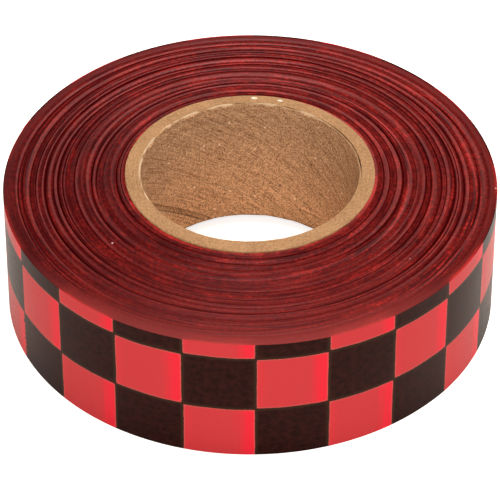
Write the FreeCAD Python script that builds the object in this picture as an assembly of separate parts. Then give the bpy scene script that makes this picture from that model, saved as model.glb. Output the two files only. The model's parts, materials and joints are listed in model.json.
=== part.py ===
import FreeCAD, Part
import math
import os

# A roll of flagging tape: one strip of thin vinyl film wound on a spiral-wound paper core.
#
# Z is the axis of the roll, and the roll rests on its outer wraps at Z = 0. Lengths are in
# millimetres. Angles go round the roll from -Y towards +X, which is anticlockwise from above.

# Film
TAPE_WIDTH = 30.16  # 1 3/16 inch
FILM_THICKNESS = 0.0635  # 2.5 mil
ROLL_RADIUS = 52.7  # over the free end, which lies on the outer turn

# Paper core
CORE_BORE_RADIUS = 23.25
CORE_OUTER_RADIUS = 26.6
CORE_LENGTH = 31.14
CORE_LIFT = 2.1  # the core's lower end stands this far above the resting plane
BODY_PLY_COUNT = 4  # between the liner and the cover
GLUE_LINE = 0.01

# Wound bands. The roll has telescoped a little, so its end faces are shallow cones inside a flat rim.
BAND_COUNT = 8
BAND_GAP = 0.02
INNER_TURN_LIFT = 2.59  # of the innermost turn, above the resting plane

# Outer turn and free end
TURN_GAP = 0.02
EDGE_CLEARANCE = 0.1  # the loose film's lower edge stays clear of the table
FREE_END_LENGTHS = 12
FREE_END_PITCH = 15.24  # one printed check, 0.6 inch, measured on the outside of the roll
SLIT = 0.05  # between two lengths of the free end
TIP_ANGLE = -110.2

free_end_inner_radius = ROLL_RADIUS - FILM_THICKNESS
outer_turn_outer_radius = free_end_inner_radius - TURN_GAP
outer_turn_inner_radius = outer_turn_outer_radius - FILM_THICKNESS
pack_outer_radius = outer_turn_inner_radius - TURN_GAP
pack_inner_radius = CORE_OUTER_RADIUS + GLUE_LINE
band_pitch = (pack_outer_radius - pack_inner_radius + BAND_GAP) / BAND_COUNT
flat_rim_inner_radius = pack_outer_radius + BAND_GAP - band_pitch
pitch_angle = math.degrees(FREE_END_PITCH / ROLL_RADIUS)
slit_angle = math.degrees(SLIT / ROLL_RADIUS)
leave_angle = TIP_ANGLE - FREE_END_LENGTHS * pitch_angle


def on_circle(radius, angle, height=0.0):
    """The point at an angle round the roll."""
    a = math.radians(angle)
    return FreeCAD.Vector(radius * math.sin(a), -radius * math.cos(a), height)


def ring(profile):
    """A full ring from its cross-section, given as (radius, height) corners in order."""
    corners = [FreeCAD.Vector(radius, 0, height) for radius, height in profile]
    section = Part.Face(Part.makePolygon(corners + corners[:1]))
    return section.revolve(FreeCAD.Vector(), FreeCAD.Vector(0, 0, 1), 360)


def tube(inner_radius, outer_radius, low, high):
    return ring([(inner_radius, low), (outer_radius, low), (outer_radius, high), (inner_radius, high)])


def curved_film(outer_radius, start, end, low):
    """A length of film, standing on edge and curved round the roll from one angle to another."""
    inner_radius = outer_radius - FILM_THICKNESS
    middle = (start + end) / 2
    outside = Part.Arc(*[on_circle(outer_radius, a, low) for a in (start, middle, end)])
    inside = Part.Arc(*[on_circle(inner_radius, a, low) for a in (end, middle, start)])
    ends = [
        Part.LineSegment(on_circle(outer_radius, end, low), on_circle(inner_radius, end, low)),
        Part.LineSegment(on_circle(inner_radius, start, low), on_circle(outer_radius, start, low)),
    ]
    outline = Part.Wire([outside.toShape(), ends[0].toShape(), inside.toShape(), ends[1].toShape()])
    return Part.Face(outline).extrude(FreeCAD.Vector(0, 0, TAPE_WIDTH))


def core_plies():
    """The plies of the paper tube from the bore outwards, with a thin glue line between them."""
    names = ["core_liner"]
    names += [f"core_ply_{number}" for number in range(2, BODY_PLY_COUNT + 2)]
    names += ["core_cover"]
    pitch = (CORE_OUTER_RADIUS - CORE_BORE_RADIUS + GLUE_LINE) / len(names)
    plies = {}
    for index, name in enumerate(names):
        inner_radius = CORE_BORE_RADIUS + index * pitch
        outer_radius = inner_radius + pitch - GLUE_LINE
        plies[name] = tube(inner_radius, outer_radius, CORE_LIFT, CORE_LIFT + CORE_LENGTH)
    return plies


def lift(radius):
    """How far the turn at a radius has telescoped upwards."""
    share = (flat_rim_inner_radius - radius) / (flat_rim_inner_radius - pack_inner_radius)
    return max(0.0, share) * INNER_TURN_LIFT


def wound_bands():
    """The packed turns from the core outwards, as bands that can slip along each other."""
    names = ["inner_wraps"]
    names += [f"wraps_{number}" for number in range(2, BAND_COUNT)]
    names += ["outer_wraps"]
    bands = {}
    for index, name in enumerate(names):
        inner_radius = pack_inner_radius + index * band_pitch
        outer_radius = inner_radius + band_pitch - BAND_GAP
        profile = [
            (inner_radius, lift(inner_radius)),
            (outer_radius, lift(outer_radius)),
            (outer_radius, lift(outer_radius) + TAPE_WIDTH),
            (inner_radius, lift(inner_radius) + TAPE_WIDTH),
        ]
        bands[name] = ring(profile)
    return bands


def outer_turn():
    """The last full turn. It starts under the free end and stops where the free end leaves the roll."""
    first, last = leave_angle - 360 + slit_angle, leave_angle
    return curved_film(outer_turn_outer_radius, first, last, EDGE_CLEARANCE)


def free_end():
    """The strip from where it leaves the roll to its tip, in lengths that hinge on each other."""
    lengths = {}
    for index in range(FREE_END_LENGTHS):
        start = leave_angle + index * pitch_angle + slit_angle
        end = leave_angle + (index + 1) * pitch_angle
        lengths[f"free_end_{index + 1:02d}"] = curved_film(ROLL_RADIUS, start, end, EDGE_CLEARANCE)
    return lengths


nodes = {**core_plies(), **wound_bands(), "outer_turn": outer_turn(), **free_end()}
os.makedirs("parts", exist_ok=True)
for node, shape in nodes.items():
    shape.exportStep(f"parts/{node}.step")
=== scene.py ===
import json
import math
import bpy
import numpy as np
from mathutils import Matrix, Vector


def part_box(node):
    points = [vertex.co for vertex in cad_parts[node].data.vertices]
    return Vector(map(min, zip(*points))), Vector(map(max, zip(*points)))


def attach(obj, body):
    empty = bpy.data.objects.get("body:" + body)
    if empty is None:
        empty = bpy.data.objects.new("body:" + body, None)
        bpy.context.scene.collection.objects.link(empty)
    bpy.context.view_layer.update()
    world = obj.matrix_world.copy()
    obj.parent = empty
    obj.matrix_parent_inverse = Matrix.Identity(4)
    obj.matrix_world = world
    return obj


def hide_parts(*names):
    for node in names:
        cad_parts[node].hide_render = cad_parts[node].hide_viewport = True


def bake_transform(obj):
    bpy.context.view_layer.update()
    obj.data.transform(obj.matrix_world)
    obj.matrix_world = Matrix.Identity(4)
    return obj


# A roll of checkered flagging tape on a paper core. Lengths are in metres. Angles go round the roll
# from -Y, the front, towards +X, and the strip of film is measured in printed checks from the place
# where the free end leaves the roll.

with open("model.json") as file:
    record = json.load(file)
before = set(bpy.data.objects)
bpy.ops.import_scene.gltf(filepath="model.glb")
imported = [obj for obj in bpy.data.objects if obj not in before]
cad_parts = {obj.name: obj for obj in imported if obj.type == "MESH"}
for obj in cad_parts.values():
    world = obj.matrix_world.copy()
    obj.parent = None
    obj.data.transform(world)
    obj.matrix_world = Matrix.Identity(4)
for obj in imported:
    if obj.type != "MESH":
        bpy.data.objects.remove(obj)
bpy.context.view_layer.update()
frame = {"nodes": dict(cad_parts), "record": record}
record = frame["record"]
joints = {joint["name"]: joint for joint in record["behaviour"]["joints"]}
mounts = {mount["name"]: mount for mount in record["mounts"]}

MM = 0.001
FULL_TURN = 2 * math.pi

# The film.
FILM_THICKNESS = 0.0635 * MM
WINDING_PITCH = 0.071 * MM  # a turn of film with the air under it
WINDING_DRIFT = 20 * MM  # how far the wound length strays from a perfect spiral's
ROW_EDGES = (12.71 * MM, 26.37 * MM)  # heights of the two print lines between rows of checks
ROW_PITCH = ROW_EDGES[1] - ROW_EDGES[0]
WORN_EDGE = 7  # the print line, counted back from the free end's start, with ragged ink at the bottom
OVERLAP_GAP = 0.003  # in checks, between the last turn's start and the free end over it
BAND_GAP = 0.02 * MM  # between the meshes of neighbouring bands
GRID_STEP = 0.6 * MM  # of the film's meshes, along the turns

# The film's edges on the roll's end faces.
RIDGE_HEIGHT, THREAD_HEIGHT, SWELL_HEIGHT = 0.12 * MM, 0.020 * MM, 0.07 * MM
FACE_SINK = 0.03 * MM  # how far the face lies inside the plain cone between the CAD's corners
WOBBLE = 0.13 * MM  # of the ridges and gaps, which aren't quite round
NEIGHBOURS = 3  # turns on each side that lend a point their ink
TOP_FACE, LOWER_FACE = 0, 1
FACE_SHIFT = 2.1  # radians that the lower face's pattern is turned by
FRONT = 0.0
# Where the end face gets painted shade on one side, and where it gets painted light at the back.
SIDE_PAINTED_SHADE_ANGLE = math.radians(-62)
BACK_PAINTED_LIGHT_ANGLE = math.radians(160)

# The paper core.
PLY_GAP = 0.01 * MM  # between the meshes of neighbouring plies
PLY_STEP = 0.35 * MM  # of the plies' meshes, round the core
SEAM_WIDTH = 1.1 * MM  # the butt gap of the liner
SEAM_DEPTH = 0.28 * MM
SEAM_SLOPE = 0.762  # rise per length round the bore
SEAM_FOOT = math.radians(-157.2)  # where the seam meets the core's lower end
CREASE_ANGLE = math.radians(144)  # the middle of a crease low on the liner
CREASE_LEVEL = 6.4 * MM
LIP_ANGLE = math.radians(-155)  # the middle of the liner's turned-up inner edge
LIP_HEIGHT, LIP_CURL = 0.30 * MM, 0.16 * MM
LIP_REACH = 1.4 * MM  # how far down the bore that edge curls
CRACK_ANGLE = math.radians(143)  # the middle of the crack behind it
CRACK_DEPTH = 0.55 * MM
CRACK_PLACE = 0.80  # share of the liner's thickness, from inside
LOWER_CUT_SHIFT = 2  # radians that the pattern on the core's lower end is turned by

BANDS = ["inner_wraps"] + [f"wraps_{n}" for n in range(2, 8)] + ["outer_wraps"]
PLIES = ["core_liner"] + [f"core_ply_{n}" for n in range(2, 6)] + ["core_cover"]
LINER, COVER = PLIES[0], PLIES[-1]
FREE_END = sorted(node for node in frame["nodes"] if node.startswith("free_end"))


def angle_of(x, y):
    return math.atan2(x, -y)


roll_radius = math.hypot(*joints["peel"]["pos_m"][:2])
leave_angle = angle_of(*joints["peel"]["pos_m"][:2])
check_angle = math.radians(joints["peel"]["range_deg"][1])
check_length = roll_radius * check_angle
bore_radius = mounts["core_bore"]["dims"]["r_mm"] * MM
core_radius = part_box("core_cover")[1].x
core_low, core_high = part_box("core_cover")[0].z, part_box("core_cover")[1].z
strip_low, strip_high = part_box("outer_turn")[0].z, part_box("outer_turn")[1].z
tape_width = strip_high - strip_low
turn_radius = -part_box("outer_turn")[0].x
pack_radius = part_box("outer_wraps")[1].x


# ---------------------------------------------------------------- shaping functions

def smooth_step(low, high, value):
    """0 at low and beyond, 1 at high and beyond, and a smooth change between."""
    t = np.clip((value - low) / (high - low), 0, 1)
    return t * t * (3 - 2 * t)


def bell(value, middle, width):
    """1 at the middle, falling smoothly to 0 on both sides."""
    return np.exp(-(((value - middle) / width) ** 2))


def near_angle(angle, middle, low, high):
    """1 near the middle angle and 0 away from it. low and high are cosines of the angle from it."""
    return smooth_step(low, high, np.cos(angle - middle))


class Variation:
    """A smooth random function of radius and angle: a sum of waves, from shortest to longest across the
    turns, with at most so many lobes round the roll."""

    def __init__(self, seed, shortest, longest, lobes, count=40):
        rng = np.random.RandomState(seed)
        lengths = np.exp(rng.uniform(math.log(shortest), math.log(longest), count))
        self.across = FULL_TURN / lengths
        self.round = rng.randint(-lobes, lobes + 1, count)
        self.phase = rng.uniform(0, FULL_TURN, count)

    def __call__(self, radius, angle):
        total = np.zeros(np.broadcast(radius, angle).shape)
        for across, lobes, phase in zip(self.across, self.round, self.phase):
            total += np.cos(across * radius + lobes * angle + phase)
        return total / math.sqrt(len(self.phase) / 2)


class Grooves:
    """Narrow dark gaps between groups of turns. Each fades in and out on its way round."""

    def __init__(self, seed, first, last, spacing):
        rng = np.random.RandomState(seed)
        self.lines = []
        radius = first
        while radius < last:
            self.lines.append((
                radius,
                rng.uniform(0.12, 0.40) * MM,  # depth
                rng.uniform(0.10, 0.21) * MM,  # width
                rng.uniform(0, FULL_TURN),  # angle where it is deepest
                rng.uniform(0.2, 1.3),  # how much of the turn it holds
            ))
            radius += spacing * rng.uniform(0.5, 1.5)

    def __call__(self, radius, angle):
        total = np.zeros(np.broadcast(radius, angle).shape)
        for line, depth, width, deepest, share in self.lines:
            held = smooth_step(-0.45, 0.45, np.cos(angle - deepest) + share)
            total += held * depth * bell(radius, line, width)
        return total


# ---------------------------------------------------------------- the roll's end faces

swell = Variation(seed=3, shortest=4 * MM, longest=9 * MM, lobes=2)
ridges = Variation(seed=11, shortest=1.3 * MM, longest=2.6 * MM, lobes=1)
threads = Variation(seed=17, shortest=0.30 * MM, longest=0.8 * MM, lobes=3, count=60)
drift = Variation(seed=23, shortest=3 * MM, longest=8 * MM, lobes=2)
mottle = Variation(seed=29, shortest=2 * MM, longest=8 * MM, lobes=9)
wobble = Variation(seed=31, shortest=5 * MM, longest=14 * MM, lobes=3)
pressure = Variation(seed=37, shortest=3 * MM, longest=9 * MM, lobes=3)
grooves = Grooves(seed=41, first=core_radius + 1.0 * MM, last=roll_radius - 2.6 * MM, spacing=1.45 * MM)


def plain_rim(radius, angle):
    """1 over the face and 0 at the rim, where the last turns lie smooth, most of all at the front."""
    width = 2.8 * MM + 3.2 * MM * near_angle(angle, FRONT, 0.45, 0.95)
    return smooth_step(0.4 * MM, width, roll_radius - radius)


def wobbled(radius, angle):
    """The radius that a line which isn't quite round would have here."""
    return radius + WOBBLE * wobble(radius, angle)


def ridge_lines(radius, angle):
    """Rounded ridges (1) and the hollows between them (-1), nearly round, and flatter at the front."""
    flatter = 1 - 0.6 * near_angle(angle, FRONT, 0.3, 0.85)
    rounded = np.tanh(1.3 * ridges(wobbled(radius, angle), angle))
    return rounded * flatter * (0.1 + 0.9 * plain_rim(radius, angle))


def crease_lines(radius, angle):
    """Depth of the narrow gaps between groups of turns."""
    flatter = 1 - 0.35 * near_angle(angle, FRONT, 0.3, 0.85)
    return flatter * plain_rim(radius, angle) * grooves(wobbled(radius, angle), angle)


def end_relief(radius, angle, face):
    """How far the film's edges stand out of the roll's plain end face."""
    angle = angle + FACE_SHIFT * face
    near_core = 0.3 + 0.7 * smooth_step(0, 1.0 * MM, radius - core_radius)
    smooth = 0.12 + 0.88 * plain_rim(radius, angle)
    shape = RIDGE_HEIGHT * ridge_lines(radius, angle) * (0.75 + 0.25 * pressure(radius, angle))
    shape += smooth * (THREAD_HEIGHT * threads(radius, angle) + SWELL_HEIGHT * swell(radius, angle))
    return near_core * shape - FACE_SINK - crease_lines(radius, angle)


def strip_checks(radius):
    """Checks along the strip, from where the free end leaves, of a place at a radius on the spiral."""
    wound = math.pi * (radius**2 - roll_radius**2) / WINDING_PITCH
    return (wound + WINDING_DRIFT * drift(radius, 0.0)) / check_length


def ink_share(radius, angle):
    """Share of black among the turns nearest a point: neighbouring turns' checks line up at some radii."""
    ahead = (angle - leave_angle) / FULL_TURN
    turn = np.round((radius - roll_radius) / WINDING_PITCH - ahead)
    total, weights = 0, 0
    for step in range(-NEIGHBOURS, NEIGHBOURS + 1):
        spiral = roll_radius + WINDING_PITCH * (turn + step + ahead)
        weight = bell(spiral, radius, 1.5 * WINDING_PITCH)
        total = total + weight * (strip_checks(spiral) % 2 < 1)
        weights = weights + weight
    return total / weights


def edge_redness_and_light(radius, angle):
    """Where the film's edges look redder: round the core, and with painted light that gets through the
    film at the front rim and over the outside's red checks. One side of the roll is darker with painted
    shade, and the back lighter with painted light."""
    from_core, from_rim = radius - core_radius, radius - pack_radius
    red_outside = smooth_step(-0.4, 0.6, np.sin(math.pi * (angle - leave_angle) / check_angle))
    ring = smooth_step(1.0 * MM, 0.2 * MM, from_core) * (0.60 + 0.25 * mottle(0.0, angle))
    # Painted light that gets into the film's edges from its lit outside: at the front rim, along the rim's
    # edge and through the outside's red checks.
    rim = smooth_step(-3.4 * MM, -2.0 * MM, from_rim) * (0.28 * near_angle(angle, FRONT, 0.3, 1.0) - 0.08)
    line = 0.7 * smooth_step(-0.9 * MM, -0.2 * MM, from_rim) * near_angle(angle, FRONT, -0.5, 0.2)
    through = 0.40 * smooth_step(-4.0 * MM, -1.0 * MM, from_rim) * near_angle(angle, FRONT, 0.2, 0.8)
    # Painted shade on one side of the end face and painted light at its back.
    side_painted_shade = 0.22 * near_angle(angle, SIDE_PAINTED_SHADE_ANGLE, 0.3, 1.0)
    back_painted_light = 0.20 * near_angle(angle, BACK_PAINTED_LIGHT_ANGLE, 0.2, 1.0)
    return ring + rim + line * red_outside + through * (red_outside - 0.5) - side_painted_shade + back_painted_light


# ---------------------------------------------------------------- meshes

def lattice(name, points, closed_round, caps=False):
    """A mesh from points[along, across, xyz]. Across always closes on itself; along closes if asked."""
    along, across = points.shape[:2]
    number = np.arange(along * across).reshape(along, across)
    ahead = np.roll(number, -1, axis=0) if closed_round else number[1:]
    here = number if closed_round else number[:-1]
    quads = np.stack([here, ahead, np.roll(ahead, -1, 1), np.roll(here, -1, 1)], -1).reshape(-1, 4)
    faces = quads.tolist()
    if caps:
        for row, order in ((number[0], 1), (number[-1], -1)):
            for i in range(across // 2 - 1):
                corners = [row[i], row[i + 1], row[across - 2 - i], row[across - 1 - i]]
                faces.append([int(c) for c in corners[::order]])
    mesh = bpy.data.meshes.new(name)
    mesh.from_pydata(points.reshape(-1, 3).tolist(), [], faces)
    mesh.polygons.foreach_set("use_smooth", np.ones(len(faces), bool))
    piece = bpy.data.objects.new(name, mesh)
    bpy.context.collection.objects.link(piece)
    return piece


def face_outwards(piece, sharp_angle=40):
    """Turns the mesh right side out, if it isn't, and keeps its real corners sharp."""
    mesh = piece.data
    mesh.update()
    points = np.zeros(len(mesh.vertices) * 3)
    mesh.vertices.foreach_get("co", points)
    points = points.reshape(-1, 3)
    mesh.calc_loop_triangles()
    triangles = np.zeros(len(mesh.loop_triangles) * 3, int)
    mesh.loop_triangles.foreach_get("vertices", triangles)
    a, b, c = points[triangles.reshape(-1, 3)].transpose(1, 0, 2)
    six_volumes = float((a * np.cross(b, c)).sum())
    if six_volumes < 0:
        mesh.flip_normals()
    mesh.set_sharp_from_angle(angle=math.radians(sharp_angle))


def put_attribute(piece, name, values):
    """Stores a number or a vector on every point."""
    values = np.asarray(values, np.float32)
    kind, field = ("FLOAT_VECTOR", "vector") if values.shape[-1:] == (3,) else ("FLOAT", "value")
    layer = piece.data.attributes.new(name, kind, "POINT")
    layer.data.foreach_set(field, values.ravel())


def put_materials(piece, materials, choice=None):
    """Gives the piece its materials, and each face the number of its own."""
    for material in materials:
        piece.data.materials.append(material)
    if choice is not None:
        piece.data.polygons.foreach_set("material_index", np.asarray(choice, np.int32).ravel())


def turned(radius, angle, height):
    """Points from cylindrical coordinates."""
    return np.stack(np.broadcast_arrays(radius * np.sin(angle), -radius * np.cos(angle), height), -1)


def angles_round(count):
    """Evenly spaced angles, as a column."""
    return np.linspace(-math.pi, math.pi, count, endpoint=False)[:, None]


def points_between(first, last, count):
    """Evenly spaced points on the way from first to last, without those two."""
    share = np.linspace(0, 1, count + 2)[1:-1, None]
    return first * (1 - share) + last * share


def strip_place(radius, angle, height, checks=None):
    """Where points lie on the printed strip: in checks along it, and in rows of checks up it."""
    if checks is None:
        checks = strip_checks(radius + WINDING_PITCH * (angle - leave_angle) / FULL_TURN)
    rows = 1 + (height - ROW_EDGES[0]) / ROW_PITCH
    return np.stack(np.broadcast_arrays(checks, rows, 0.0), -1)


# ---------------------------------------------------------------- materials

FILM_RED = (0.555, 0.038, 0.045)
FILM_RED_RIGHT = (0.775, 0.020, 0.040)
FILM_RED_LEFT = (0.800, 0.026, 0.040)
PRINT_OUTLINE = (0.46, 0.13, 0.11)
INK_DARK = (0.010, 0.0008, 0.0008)
INK_PALE = (0.030, 0.0045, 0.0038)
INK_BORDER = (0.030, 0.015, 0.008)
EDGE_DARK = (0.052, 0.0025, 0.0030)
EDGE_RED = (0.172, 0.0085, 0.0066)
EDGE_BRIGHT = (0.42, 0.020, 0.017)
# Painted shade in the narrow gaps between groups of turns.
EDGE_GAP_SHADE = (0.034, 0.0008, 0.0010)
# Painted highlight on the ridge crests.
EDGE_CREST_HIGHLIGHT = (0.36, 0.075, 0.070)
# Painted sheen over the front of the end face.
EDGE_FRONT_SHEEN = (0.36, 0.060, 0.056)
EDGE_DUST = (0.72, 0.36, 0.36)
CUT_DARK, CUT_PALE = (0.295, 0.150, 0.067), (0.485, 0.268, 0.127)
FLAKE_DARK, FLAKE_PALE = (0.62, 0.52, 0.36), (0.90, 0.82, 0.66)
TORN_PAPER = (0.66, 0.465, 0.285)
BORE_DARK, BORE_PALE = (0.270, 0.126, 0.056), (0.70, 0.415, 0.222)
BORE_SCUFF = (0.20, 0.080, 0.032)
SPECK_DARK, SPECK_PALE = (0.13, 0.045, 0.018), (0.90, 0.66, 0.44)
FLOOR_PALE, FLOOR_DARK = (0.91, 0.86, 0.78), (0.89, 0.84, 0.76)
FILM_SHEEN = (1.0, 0.72, 0.60, 1.0)
WHITE = (1.0, 1.0, 1.0, 1.0)


class Shader:
    """Builds one material out of nodes."""

    def __init__(self, name):
        self.material = bpy.data.materials.new(name)
        self.material.use_nodes = True
        self.tree = self.material.node_tree
        self.tree.nodes.clear()

    def node(self, kind, inputs=None, **settings):
        made = self.tree.nodes.new(kind)
        for key, value in settings.items():
            setattr(made, key, value)
        for key, value in (inputs or {}).items():
            if isinstance(value, bpy.types.NodeSocket):
                self.tree.links.new(value, made.inputs[key])
            else:
                made.inputs[key].default_value = value
        return made

    def math(self, operation, a, b=0.0, c=0.0):
        return self.node("ShaderNodeMath", {0: a, 1: b, 2: c}, operation=operation).outputs[0]

    def add(self, a, b):
        return self.math("ADD", a, b)

    def times(self, a, b):
        return self.math("MULTIPLY", a, b)

    def step(self, value, low, high, low_value=0.0, high_value=1.0):
        """A smooth change from one value at low to another at high."""
        inputs = {"Value": value, "From Min": low, "From Max": high}
        inputs.update({"To Min": low_value, "To Max": high_value})
        return self.node("ShaderNodeMapRange", inputs, interpolation_type="SMOOTHSTEP").outputs[0]

    def fall(self, value, low, high):
        """1 at low and 0 at high."""
        return self.step(value, low, high, 1.0, 0.0)

    def mix(self, factor, a, b):
        colours = [c if isinstance(c, bpy.types.NodeSocket) else (*c, 1.0) for c in (a, b)]
        inputs = {0: factor, 6: colours[0], 7: colours[1]}
        return self.node("ShaderNodeMix", inputs, data_type="RGBA").outputs[2]

    def shade(self, colour, factor):
        """A colour made darker or lighter."""
        grey = self.node("ShaderNodeCombineColor", {0: factor, 1: factor, 2: factor}).outputs[0]
        inputs = {0: 1.0, 6: colour, 7: grey}
        return self.node("ShaderNodeMix", inputs, data_type="RGBA", blend_type="MULTIPLY").outputs[2]

    def noise(self, place, scale, detail=2.0, roughness=0.5):
        """Noise from 0 to 1."""
        inputs = {"Vector": place, "Scale": scale, "Detail": detail, "Roughness": roughness}
        return self.node("ShaderNodeTexNoise", inputs).outputs[0]

    def swing(self, place, scale, detail=2.0, roughness=0.5):
        """Noise from -0.5 to 0.5."""
        return self.add(self.noise(place, scale, detail, roughness), -0.5)

    def spots(self, place, scale):
        """Cells with a random colour each, and the distance from each cell's middle."""
        cells = self.node("ShaderNodeTexVoronoi", {"Vector": place, "Scale": scale}, feature="F1")
        return self.split(cells.outputs["Color"]), cells.outputs["Distance"]

    def attribute(self, name, output="Fac"):
        return self.node("ShaderNodeAttribute", attribute_name=name).outputs[output]

    def place(self):
        """The point itself, in metres."""
        return self.node("ShaderNodeTexCoord").outputs["Object"]

    def seen_by_camera(self):
        return self.node("ShaderNodeLightPath").outputs["Is Camera Ray"]

    def split(self, vector):
        return self.node("ShaderNodeSeparateXYZ", {0: vector}).outputs

    def join(self, x, y, z):
        return self.node("ShaderNodeCombineXYZ", {0: x, 1: y, 2: z}).outputs[0]

    def round_the_axis(self, along, across):
        """A place for noise stretched round the roll: how many details a metre holds round and across."""
        x, y, _ = self.split(self.place())
        square = self.add(self.times(x, x), self.times(y, y))
        radius = self.math("SQRT", square)
        east, north = self.math("DIVIDE", x, radius), self.math("DIVIDE", y, radius)
        reach = along * roll_radius
        return self.join(self.times(east, reach), self.times(north, reach), self.times(radius, across))

    def finish(self, colour, roughness, height=None, depth=0.0, **more):
        """The surface, with a bump if there is a height, and any other inputs by their names."""
        inputs = {"Base Color": colour, "Roughness": roughness}
        inputs.update({key.replace("_", " "): value for key, value in more.items()})
        if height is not None:
            bump = self.node("ShaderNodeBump", {"Height": height, "Distance": depth, "Strength": 1.0})
            inputs["Normal"] = bump.outputs[0]
        surface = self.node("ShaderNodeBsdfPrincipled", inputs)
        output = self.node("ShaderNodeOutputMaterial")
        self.tree.links.new(surface.outputs[0], output.inputs[0])
        return self.material


def print_depth(s, place, checks, rows, wander):
    """Millimetres from the nearest print line: positive in red checks and negative in black ones."""
    column = s.times(s.math("PINGPONG", checks, 0.5), check_length / MM)
    row = s.times(s.math("PINGPONG", rows, 0.5), ROW_PITCH / MM)
    corner = s.math("SQRT", s.add(s.times(column, column), s.times(row, row)))
    inside = s.math("DIVIDE", s.times(column, row), s.math("MAXIMUM", corner, 0.001))
    signs = s.times(s.math("SINE", s.times(checks, math.pi)), s.math("SINE", s.times(rows, math.pi)))
    depth = s.times(inside, s.math("SIGN", signs))
    ragged = s.swing(place, 45.0, 3.0)
    depth = s.add(depth, s.add(s.times(wander, 0.35), s.times(ragged, 0.30)))
    from_worn_edge = s.math("ABSOLUTE", s.add(checks, WORN_EDGE))
    worn = s.times(s.fall(from_worn_edge, 0.02, 0.14), s.fall(rows, 0.75, 0.95))
    return s.add(depth, s.times(worn, s.times(s.swing(place, 13.0, 3.0), 4.5)))


def vinyl_red(s, checks, rows, wander):
    """The red between the black checks, brighter at each check's ends, where the turn below shows."""
    through = s.math("FRACT", s.add(checks, s.times(wander, 0.05)))
    lines = s.swing(s.join(s.times(checks, 40.0), s.times(rows, 0.8), 0.0), 1.0, 2.0)
    right = s.step(s.add(through, s.times(lines, 0.22)), 0.70, 0.92)
    left = s.times(s.fall(through, 0.02, 0.16), 0.28)
    return s.mix(left, s.mix(right, FILM_RED, FILM_RED_RIGHT), FILM_RED_LEFT)


def checkered_film():
    """Glossy red vinyl with a printed black checkerboard."""
    s = Shader("checkered_film")
    place = s.attribute("strip", "Vector")
    checks, rows, _ = s.split(place)
    wander = s.swing(place, 2.0, 2.0)
    depth = print_depth(s, place, checks, rows, wander)
    ink = s.fall(depth, 0.14, 0.26)
    outline = s.times(s.step(depth, 0.16, 0.28), s.fall(depth, 0.30, 0.52))
    red = s.mix(s.times(outline, 0.55), vinyl_red(s, checks, rows, wander), PRINT_OUTLINE)
    cloud = s.noise(place, 10.0, 5.0, 0.7)
    black = s.mix(s.step(cloud, 0.35, 0.68), INK_DARK, INK_PALE)
    black = s.mix(s.step(depth, -0.75, 0.05), black, INK_BORDER)
    ripple = s.add(s.noise(place, 1.3, 2.0), s.times(s.noise(place, 30.0, 2.0), 0.06))
    return s.finish(
        s.mix(ink, red, black),
        s.step(cloud, 0.3, 0.7, 0.27, 0.36),
        ripple,
        0.05 * MM,
        Specular_IOR_Level=0.085,
        Specular_Tint=FILM_SHEEN,
    )


def film_edges():
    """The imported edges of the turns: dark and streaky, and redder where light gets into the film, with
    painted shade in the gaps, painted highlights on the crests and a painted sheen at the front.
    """
    s = Shader("film_edges")
    ridge, crease, calm = s.attribute("ridge"), s.attribute("crease"), s.attribute("calm")
    place = s.place()
    northward = s.split(place)[1]
    front = s.fall(northward, -roll_radius, -0.4 * roll_radius)
    streaks = s.swing(s.round_the_axis(105, 750), 1.0, 3.0, 0.55)
    fine_streaks = s.swing(s.round_the_axis(320, 2800), 1.0, 3.0, 0.6)
    patches = s.swing(s.round_the_axis(75, 200), 1.0, 3.0, 0.6)
    mottling = s.swing(place, 1300, 4.0, 0.7)
    ink = s.times(s.add(s.attribute("ink"), -0.5), s.step(patches, -0.15, 0.15, -1.1, -0.3))

    light = s.add(s.times(streaks, 1.25), s.times(fine_streaks, 0.8))
    light = s.add(light, s.add(s.times(patches, 1.1), s.times(mottling, 2.3)))
    lively = s.times(s.step(calm, 0.0, 1.0, 1.0, 0.3), s.step(front, 0.0, 1.0, 1.0, 0.75))
    light = s.times(s.add(light, ink), lively)
    # The edge attribute below brings painted light through the film, painted shade on one side and painted
    # light at the back; the ridge term is a painted highlight on the crests.
    light = s.add(light, s.add(s.attribute("redness_and_light"), s.times(ridge, 0.14)))

    colour = s.mix(s.step(light, -0.62, 0.60), EDGE_DARK, EDGE_RED)
    colour = s.mix(s.step(light, 0.22, 1.0), colour, EDGE_BRIGHT)
    # Painted shade in the gaps between groups of turns.
    colour = s.mix(s.step(crease, 0.01, 0.20, 0.0, 0.85), colour, EDGE_GAP_SHADE)
    # Painted highlight where the ridge crests catch the light.
    crest_highlight = s.times(s.step(ridge, 0.2, 1.0), s.fall(crease, 0.0, 0.1))
    colour = s.mix(s.times(crest_highlight, 0.20), colour, EDGE_CREST_HIGHLIGHT)
    # Painted sheen: a pale haze over the front of the end face, strongest at the smooth rim.
    front_sheen = s.times(front, s.add(0.14, s.times(calm, 0.26)))
    colour = s.mix(front_sheen, colour, EDGE_FRONT_SHEEN)
    cell, distance = s.spots(place, 210.0)
    chosen = s.step(cell[0], 0.84, 1.0)
    speck = s.step(s.add(s.times(chosen, 0.055), s.times(distance, -1.0)), -0.01, 0.01)
    colour = s.mix(s.times(speck, 0.8), colour, EDGE_DUST)

    shine = s.times(s.step(ridge, -0.8, 0.8, 0.03, 0.28), s.fall(crease, 0.0, 0.12))
    shine = s.times(shine, s.step(northward, -roll_radius, roll_radius, 0.35, 1.5))
    return s.finish(
        colour,
        0.42,
        s.add(s.times(fine_streaks, 0.7), streaks),
        0.10 * MM,
        Specular_IOR_Level=shine,
        Anisotropic=0.4,
        Anisotropic_Rotation=0.25,
        Tangent=s.node("ShaderNodeTangent", direction_type="RADIAL", axis="Z").outputs[0],
    )


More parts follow.
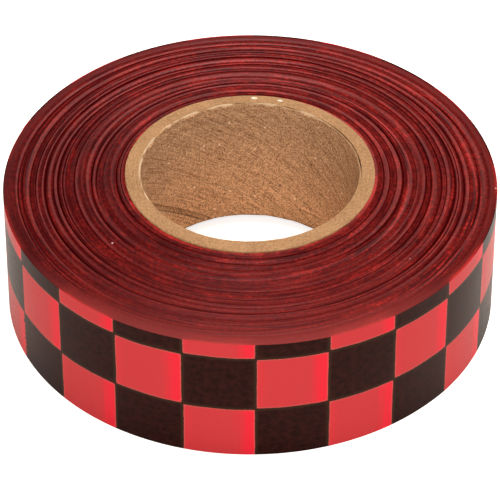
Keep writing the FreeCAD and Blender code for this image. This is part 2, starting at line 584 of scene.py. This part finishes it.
def kraft_grain(s, place, twist):
    """Slow changes of tone, fine mottling, and fibres that follow the winding of the paper."""
    inputs = {"Vector": place, "Angle": s.times(s.split(place)[2], twist)}
    wound = s.node("ShaderNodeVectorRotate", inputs, rotation_type="Z_AXIS").outputs[0]
    along = s.node("ShaderNodeMapping", {"Vector": wound, "Scale": (1.0, 1.0, 0.12)}).outputs[0]
    tone = s.noise(place, 120, 3.0, 0.6)
    grain = s.noise(place, 2100, 3.0, 0.8)
    fibres = s.noise(along, 1500, 4.0, 0.75)
    return tone, grain, fibres


def kraft_cut(name, dark, pale):
    """The cut ends of the paper plies: pale, soft and a little furry."""
    s = Shader(name)
    tone, grain, fibres = kraft_grain(s, s.place(), 0.0)
    mixed = s.add(s.times(grain, 0.5), s.add(s.times(fibres, 0.3), s.times(tone, 0.2)))
    colour = s.mix(s.step(mixed, 0.38, 0.62), dark, pale)
    tint = s.attribute("tint")
    colour = s.shade(colour, s.math("MINIMUM", tint, 1.0))
    colour = s.mix(s.step(tint, 0.98, 1.5), colour, TORN_PAPER)
    return s.finish(colour, 0.9, s.add(grain, fibres), 0.10 * MM, Specular_IOR_Level=0.15)


def kraft_bore():
    """The liner's inside: brown paper with dark and pale specks and scuffs."""
    s = Shader("kraft_bore")
    place = s.place()
    tone, grain, fibres = kraft_grain(s, place, -1 / (SEAM_SLOPE * bore_radius))
    fine = s.noise(place, 4200, 2.0, 0.6)
    mixed = s.add(s.times(grain, 0.36), s.add(s.times(fine, 0.30), s.times(fibres, 0.34)))
    colour = s.mix(s.step(mixed, 0.42, 0.58), BORE_DARK, BORE_PALE)
    scuffs = s.times(s.step(fibres, 0.57, 0.66), s.step(tone, 0.42, 0.60))
    colour = s.mix(s.times(scuffs, 0.55), colour, BORE_SCUFF)
    cell, distance = s.spots(place, 900.0)
    size = s.times(s.step(cell[0], 0.80, 1.0), 0.30)
    speck = s.times(s.math("LESS_THAN", distance, size), 0.7)
    speck_tone = s.mix(s.math("GREATER_THAN", cell[1], 0.45), SPECK_DARK, SPECK_PALE)
    colour = s.mix(speck, colour, speck_tone)
    colour = s.shade(colour, s.attribute("tint"))
    return s.finish(colour, 0.9, s.add(grain, fibres), 0.16 * MM, Specular_IOR_Level=0.15)


FILM_MATERIAL = checkered_film()
EDGE_MATERIAL = film_edges()
CUT_MATERIAL = kraft_cut("kraft_cut", CUT_DARK, CUT_PALE)
FLAKE_MATERIAL = kraft_cut("kraft_flake", FLAKE_DARK, FLAKE_PALE)
BORE_MATERIAL = kraft_bore()


# ---------------------------------------------------------------- the wound film

TOP_STEPS, WALL_STEPS, BOTTOM_STEPS, INNER_STEPS = 37, 7, 13, 3
STRIP_STEPS = 15  # up the strip


def wound_band(node, inner_radius):
    """A band of turns: a ring whose end faces are the film's edges and whose walls are printed film."""
    low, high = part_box(node)
    outer_radius = high.x
    outer_lift, inner_lift = low.z, high.z - tape_width
    count = int(FULL_TURN * outer_radius / GRID_STEP)
    angle = angles_round(count)
    out = np.linspace(inner_radius, outer_radius, TOP_STEPS)[None, :]
    back = np.linspace(outer_radius, inner_radius, BOTTOM_STEPS)[None, :]

    def lift(radius):
        share = (radius - inner_radius) / (outer_radius - inner_radius)
        return inner_lift + (outer_lift - inner_lift) * share

    top = turned(out, angle, lift(out) + tape_width + end_relief(out, angle, TOP_FACE))
    below = np.minimum(end_relief(back, angle, LOWER_FACE), lift(back))  # never into the floor
    bottom = turned(back, angle, lift(back) - below)
    outside = points_between(top[:, -1:], bottom[:, :1], WALL_STEPS)
    inside = points_between(bottom[:, -1:], top[:, :1], INNER_STEPS)
    points = np.concatenate([top, outside, bottom, inside], 1)

    piece = lattice(f"wound_{node}", points, closed_round=True)
    radius = np.hypot(points[..., 0], points[..., 1])
    put_attribute(piece, "ink", ink_share(radius, angle))
    put_attribute(piece, "ridge", ridge_lines(radius, angle))
    put_attribute(piece, "crease", crease_lines(radius, angle) / MM)
    put_attribute(piece, "redness_and_light", edge_redness_and_light(radius, angle))
    put_attribute(piece, "calm", 1 - plain_rim(radius, angle))
    put_attribute(piece, "strip", strip_place(radius, angle, points[..., 2] - lift(radius)))
    column = np.arange(points.shape[1])
    wall = (column >= TOP_STEPS - 1) & (column < TOP_STEPS + WALL_STEPS)
    put_materials(piece, [EDGE_MATERIAL, FILM_MATERIAL], np.tile(wall, count))
    face_outwards(piece)
    return piece


def strip_radius(checks):
    """Outer radius of the strip at rest: on the pack, then a film higher where it lies over its start."""
    return turn_radius + (roll_radius - turn_radius) * smooth_step(-0.5, 0.0, checks)


def film_strip(name, start, end):
    """A length of the strip, standing on edge, from one check number to another."""
    columns = int((end - start) * check_length / GRID_STEP)
    checks = np.linspace(start, end, columns + 1)[:, None]
    angle = leave_angle + checks * check_angle
    outer = strip_radius(checks)
    up = tape_width * np.linspace(0, 1, STRIP_STEPS)[None, :]
    down = up[:, ::-1]
    outside = turned(outer, angle, strip_low + up)
    inside = turned(outer - FILM_THICKNESS, angle, strip_low + down)
    piece = lattice(name, np.concatenate([outside, inside], 1), closed_round=False, caps=True)
    put_attribute(piece, "strip", strip_place(outer, angle, np.concatenate([up, down], 1), checks))
    put_materials(piece, [FILM_MATERIAL])
    face_outwards(piece)
    return piece


def add_bands():
    inner_radius = core_radius
    for node in BANDS:
        piece = wound_band(node, inner_radius)
        body = "core" if node == "inner_wraps" else node
        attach(piece, body)
        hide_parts(node)
        inner_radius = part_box(node)[1].x + BAND_GAP


def add_last_turn():
    start = OVERLAP_GAP - FULL_TURN / check_angle
    turn = film_strip("outer_turn_film", start, -0.5)
    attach(turn, "outer_turn")
    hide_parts("outer_turn")


def add_free_end():
    """Lengths that each lie across one hinge, and a stiff tip. Hinge number n is at check n."""
    bodies = ["outer_turn"] + FREE_END
    for hinge, (before, after) in enumerate(zip(bodies, bodies[1:])):
        piece = film_strip(f"free_end_film_{hinge + 1:02d}", hinge - 0.5, hinge + 0.5)
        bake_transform(piece)
        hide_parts(after)
    tip = film_strip("free_end_tip_film", len(FREE_END) - 0.5, len(FREE_END))
    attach(tip, FREE_END[-1])


# ---------------------------------------------------------------- the paper core

cut_fuzz = Variation(seed=53, shortest=0.25 * MM, longest=1.2 * MM, lobes=60, count=80)
cut_swell = Variation(seed=59, shortest=2 * MM, longest=6 * MM, lobes=7)
burr_length = Variation(seed=61, shortest=1.5 * MM, longest=5 * MM, lobes=24, count=60)

LINER_WALL_STEPS = 84
LINER_END_STEPS, PLY_END_STEPS = 9, 6


def seam_offset(angle, height):
    """How far a point of the bore is from the middle of the liner's seam, in half widths of the seam."""
    foot = core_low + SEAM_SLOPE * bore_radius * (angle - SEAM_FOOT)
    rise = SEAM_SLOPE * bore_radius * FULL_TURN
    above = (height - foot + rise / 2) % rise - rise / 2
    return np.abs(above * math.cos(math.atan(SEAM_SLOPE))) / (SEAM_WIDTH / 2)


def scuff_shade(angle, height):
    """A crease low on the liner, and the faint helical scuffs left when it was wound."""
    rng = np.random.RandomState(67)
    shade = np.ones(np.broadcast(angle, height).shape)
    scuffs = [  # middle angle, level, slope, half length, strength, width
        (CREASE_ANGLE, CREASE_LEVEL, 0.05, 4 * MM, 0.30, 0.30 * MM),
        (CREASE_ANGLE, CREASE_LEVEL - 0.6 * MM, 0.05, 4 * MM, -0.45, 0.20 * MM),
    ]
    for _ in range(30):
        middle, level = rng.uniform(0, FULL_TURN), rng.uniform(core_low, core_high)
        slope, reach = rng.uniform(0.60, 0.85), rng.uniform(2, 7) * MM
        strength, width = rng.uniform(-0.42, 0.20), rng.uniform(0.15, 0.38) * MM
        scuffs.append((middle, level, slope, reach, strength, width))
    for middle, level, slope, reach, strength, width in scuffs:
        along = ((angle - middle + math.pi) % FULL_TURN - math.pi) * bore_radius
        above = height - level - slope * along
        shade += strength * bell(above, 0, width) * smooth_step(reach, 0.6 * reach, np.abs(along))
    return shade


def burr(angle):
    """How strongly the cutter has turned up the liner's inner edge: mostly at the back left."""
    spread = near_angle(angle, LIP_ANGLE, -0.35, 0.75)
    return spread * np.clip(0.65 + 0.45 * burr_length(0.0, angle), 0, 1.3)


def crack(angle):
    """How far the turned-up edge has come away from the plies behind it: at the back right."""
    spread = near_angle(angle, CRACK_ANGLE, 0.35, 0.85)
    return spread * np.clip(0.9 + 0.4 * burr_length(1.0 * MM, angle), 0, 1.2)


def cut_relief(node, radius, across, angle):
    """How far a ply's cut end stands out. across is the share of the ply's thickness, from inside."""
    shape = 0.022 * MM * cut_fuzz(radius, angle) + 0.03 * MM * cut_swell(radius, angle)
    shape = shape - 0.03 * MM * (2 * across - 1) ** 6
    if node == LINER:
        lip = LIP_HEIGHT * burr(angle) * bell(across, 0.40, 0.28)
        gap = CRACK_DEPTH * crack(angle) * bell(across, CRACK_PLACE, 0.22)
        shape = shape + lip - gap - 0.10 * MM * smooth_step(0.25, 0.0, across)
    if node == COVER:
        shape = shape - 0.14 * MM * smooth_step(0.5, 1.0, across)
    return shape


def bore_wall(angle, height):
    """The liner's inside, with its seam, its dents and its turned-up edge."""
    groove = smooth_step(1.12, 0.88, seam_offset(angle, height)) * SEAM_DEPTH
    dents = 0.035 * MM * cut_swell(height * 0.9, angle) + 0.012 * MM * cut_fuzz(height, angle)
    ends = smooth_step(0, 1 * MM, height - core_low) * smooth_step(0, 1 * MM, core_high - height)
    curl = LIP_CURL * burr_length(0.0, angle) * burr(angle) * smooth_step(LIP_REACH, 0, core_high - height)
    return turned(bore_radius + (groove + dents) * ends - curl, angle, height)


def bore_tint(angle, height):
    """Brightness of the bore: dark along the seam, paler towards the bottom with painted bounce light from
    the floor, and scuffed.
    """
    off = seam_offset(angle, height)
    seam = 1 - 0.62 * bell(off, 1, 0.25) - 0.16 * (off < 1)
    # Painted bounce light from the floor: paler towards the bottom of the bore.
    floor_bounce_light = smooth_step(0.85, 0.0, (height - core_low) / (core_high - core_low))
    return seam * (1 + 0.46 * floor_bounce_light) * scuff_shade(angle, height)


def lip_tint(angle, across):
    """Brightness of the liner's cut end: pale where the lip is torn, and dark with painted shade in the
    crack.
    """
    torn = np.clip(1 + 0.5 * cut_fuzz(0.3 * across * MM, angle), 0.1, 1.7)
    pale = 0.94 + (0.10 + 0.55 * burr(angle)) * torn * bell(across, 0.38, 0.46)
    # Painted shade in the crack behind the turned-up edge.
    crack_shade = crack(angle) * bell(across, CRACK_PLACE, 0.26)
    return np.maximum(pale - 0.95 * crack_shade, 0.12)


def paper_ply(node, inner_radius):
    """One ply of the core. Its ends are cut paper, and the liner's inside is the bore."""
    outer_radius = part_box(node)[1].x
    is_liner = node == LINER
    end_steps = LINER_END_STEPS if is_liner else PLY_END_STEPS
    wall_steps = LINER_WALL_STEPS if is_liner else 1
    count = int(FULL_TURN * outer_radius / PLY_STEP)
    angle = angles_round(count)
    out = np.linspace(inner_radius, outer_radius, end_steps)[None, :]
    back = out[:, ::-1]

    def cut(radius, shift):
        across = (radius - inner_radius) / (outer_radius - inner_radius)
        return cut_relief(node, radius, across, angle + shift)

    top = turned(out, angle, core_high + cut(out, 0))
    bottom = turned(back, angle, core_low - cut(back, LOWER_CUT_SHIFT))
    outside = points_between(top[:, -1:], bottom[:, :1], 1)
    inside = points_between(bottom[:, -1:], top[:, :1], wall_steps)
    tint = np.ones((count, 2 * end_steps + 1 + wall_steps))
    if is_liner:
        height = inside[..., 2]
        inside = bore_wall(angle, height)
        tint[:, -wall_steps:] = bore_tint(angle, height)
        tint[:, :end_steps] = lip_tint(angle, np.linspace(0, 1, end_steps)[None, :])

    piece = lattice(f"board_{node}", np.concatenate([top, outside, bottom, inside], 1), closed_round=True)
    put_attribute(piece, "tint", tint)
    column = np.arange(tint.shape[1])
    bore = is_liner & (column >= tint.shape[1] - wall_steps - 1)
    put_materials(piece, [CUT_MATERIAL, BORE_MATERIAL], np.tile(bore, count))
    face_outwards(piece, 50)
    return piece


def paper_flake(number, angle, radius, length, width):
    """A small pale flake of paper stuck to the core's cut end."""
    steps, rows = 13, 8
    along = np.linspace(-1, 1, steps)[:, None]
    around = np.linspace(0, FULL_TURN, rows, endpoint=False)[None, :]
    taper = np.sqrt(np.clip(1.02 - along**2, 0, 1)) * (1 + 0.2 * np.sin(5 * along + number))
    across = radius + width / 2 * taper * np.cos(around)
    turn = angle + along * length / 2 / radius
    height = core_high + 0.05 * MM + 0.11 * MM * taper * np.sin(around)
    piece = lattice(f"paper_flake_{number}", turned(across, turn, height), closed_round=False, caps=True)
    put_attribute(piece, "tint", np.ones(steps * rows))
    put_materials(piece, [FLAKE_MATERIAL])
    face_outwards(piece, 60)
    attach(piece, "core")


def build_core():
    inner_radius = bore_radius
    for node in PLIES:
        piece = paper_ply(node, inner_radius)
        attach(piece, "core")
        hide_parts(node)
        inner_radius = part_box(node)[1].x + PLY_GAP
    paper_flake(1, math.radians(178), bore_radius + 2.2 * MM, length=1.5 * MM, width=0.75 * MM)
    paper_flake(2, math.radians(165), bore_radius + 2.1 * MM, length=1.3 * MM, width=0.60 * MM)


# ---------------------------------------------------------------- floor, light and camera

FLOOR_HALF = 3.0
ROOM_LIGHT, ROOM_SEEN = 0.42, 1.2  # the room's strength as a light, and as the camera sees it
ROOM_COLOUR = (1.0, 0.92, 0.84, 1)
LIGHT_TARGET = Vector((0, 0, 0.015))
CAMERA_DISTANCE, CAMERA_ELEVATION = 0.7577, math.radians(39.91)
CAMERA_TARGET = Vector((0, 0, 0.01135))
CAMERA_LENS, CAMERA_SENSOR = 251.8, 36  # millimetres


def floor_paper():
    """Plain pale paper that the camera sees as white, as in a cut-out photograph."""
    s = Shader("floor_paper")
    return s.finish(
        s.mix(s.noise(s.place(), 3.0, 2.0), FLOOR_PALE, FLOOR_DARK),
        0.9,
        Specular_IOR_Level=0.1,
        Emission_Color=WHITE,
        Emission_Strength=s.times(s.seen_by_camera(), 0.75),
    )


def build_floor():
    mesh = bpy.data.meshes.new("floor")
    corners = [(x * FLOOR_HALF, y * FLOOR_HALF, 0) for x, y in ((-1, -1), (1, -1), (1, 1), (-1, 1))]
    mesh.from_pydata(corners, [], [(0, 1, 2, 3)])
    floor = bpy.data.objects.new("floor", mesh)
    bpy.context.collection.objects.link(floor)
    mesh.materials.append(floor_paper())


def build_room():
    """A pale room that the camera sees as white."""
    world = bpy.data.worlds.new("studio")
    bpy.context.scene.world = world
    world.use_nodes = True
    nodes, links = world.node_tree.nodes, world.node_tree.links
    seen = nodes.new("ShaderNodeLightPath").outputs["Is Camera Ray"]
    strength = nodes.new("ShaderNodeMapRange")
    links.new(seen, strength.inputs["Value"])
    strength.inputs["To Min"].default_value = ROOM_LIGHT
    strength.inputs["To Max"].default_value = ROOM_SEEN
    links.new(strength.outputs[0], nodes["Background"].inputs["Strength"])
    nodes["Background"].inputs["Color"].default_value = ROOM_COLOUR


def add_light(name, place, size, power, shine=1.0):
    """A round softbox turned towards the roll."""
    light = bpy.data.lights.new(name, "AREA")
    light.shape = "DISK"
    light.size = size
    light.energy = power
    light.specular_factor = shine
    lamp = bpy.data.objects.new(name, light)
    lamp.location = place
    lamp.rotation_euler = (LIGHT_TARGET - Vector(place)).to_track_quat("-Z", "Y").to_euler()
    bpy.context.collection.objects.link(lamp)


def build_lights():
    add_light("overhead", (0.0, 0.10, 1.0), size=0.4, power=5.5)
    add_light("right", (0.75, 0.25, 0.95), size=0.5, power=5, shine=0.1)
    add_light("front", (-0.04, -0.98, 0.66), size=0.8, power=7)


def build_camera():
    """A long lens from the photograph's angle."""
    data = bpy.data.cameras.new("camera")
    data.sensor_width = CAMERA_SENSOR
    data.lens = CAMERA_LENS
    data.clip_start, data.clip_end = 0.01, 20
    camera = bpy.data.objects.new("camera", data)
    back = Vector((0, -math.cos(CAMERA_ELEVATION), math.sin(CAMERA_ELEVATION)))
    camera.location = CAMERA_TARGET + back * CAMERA_DISTANCE
    camera.rotation_euler = (-back).to_track_quat("-Z", "Y").to_euler()
    bpy.context.collection.objects.link(camera)
    bpy.context.scene.camera = camera


add_bands()
add_last_turn()
add_free_end()
build_core()
build_floor()
build_room()
build_lights()
build_camera()
bpy.context.scene.view_settings.view_transform = "Standard"
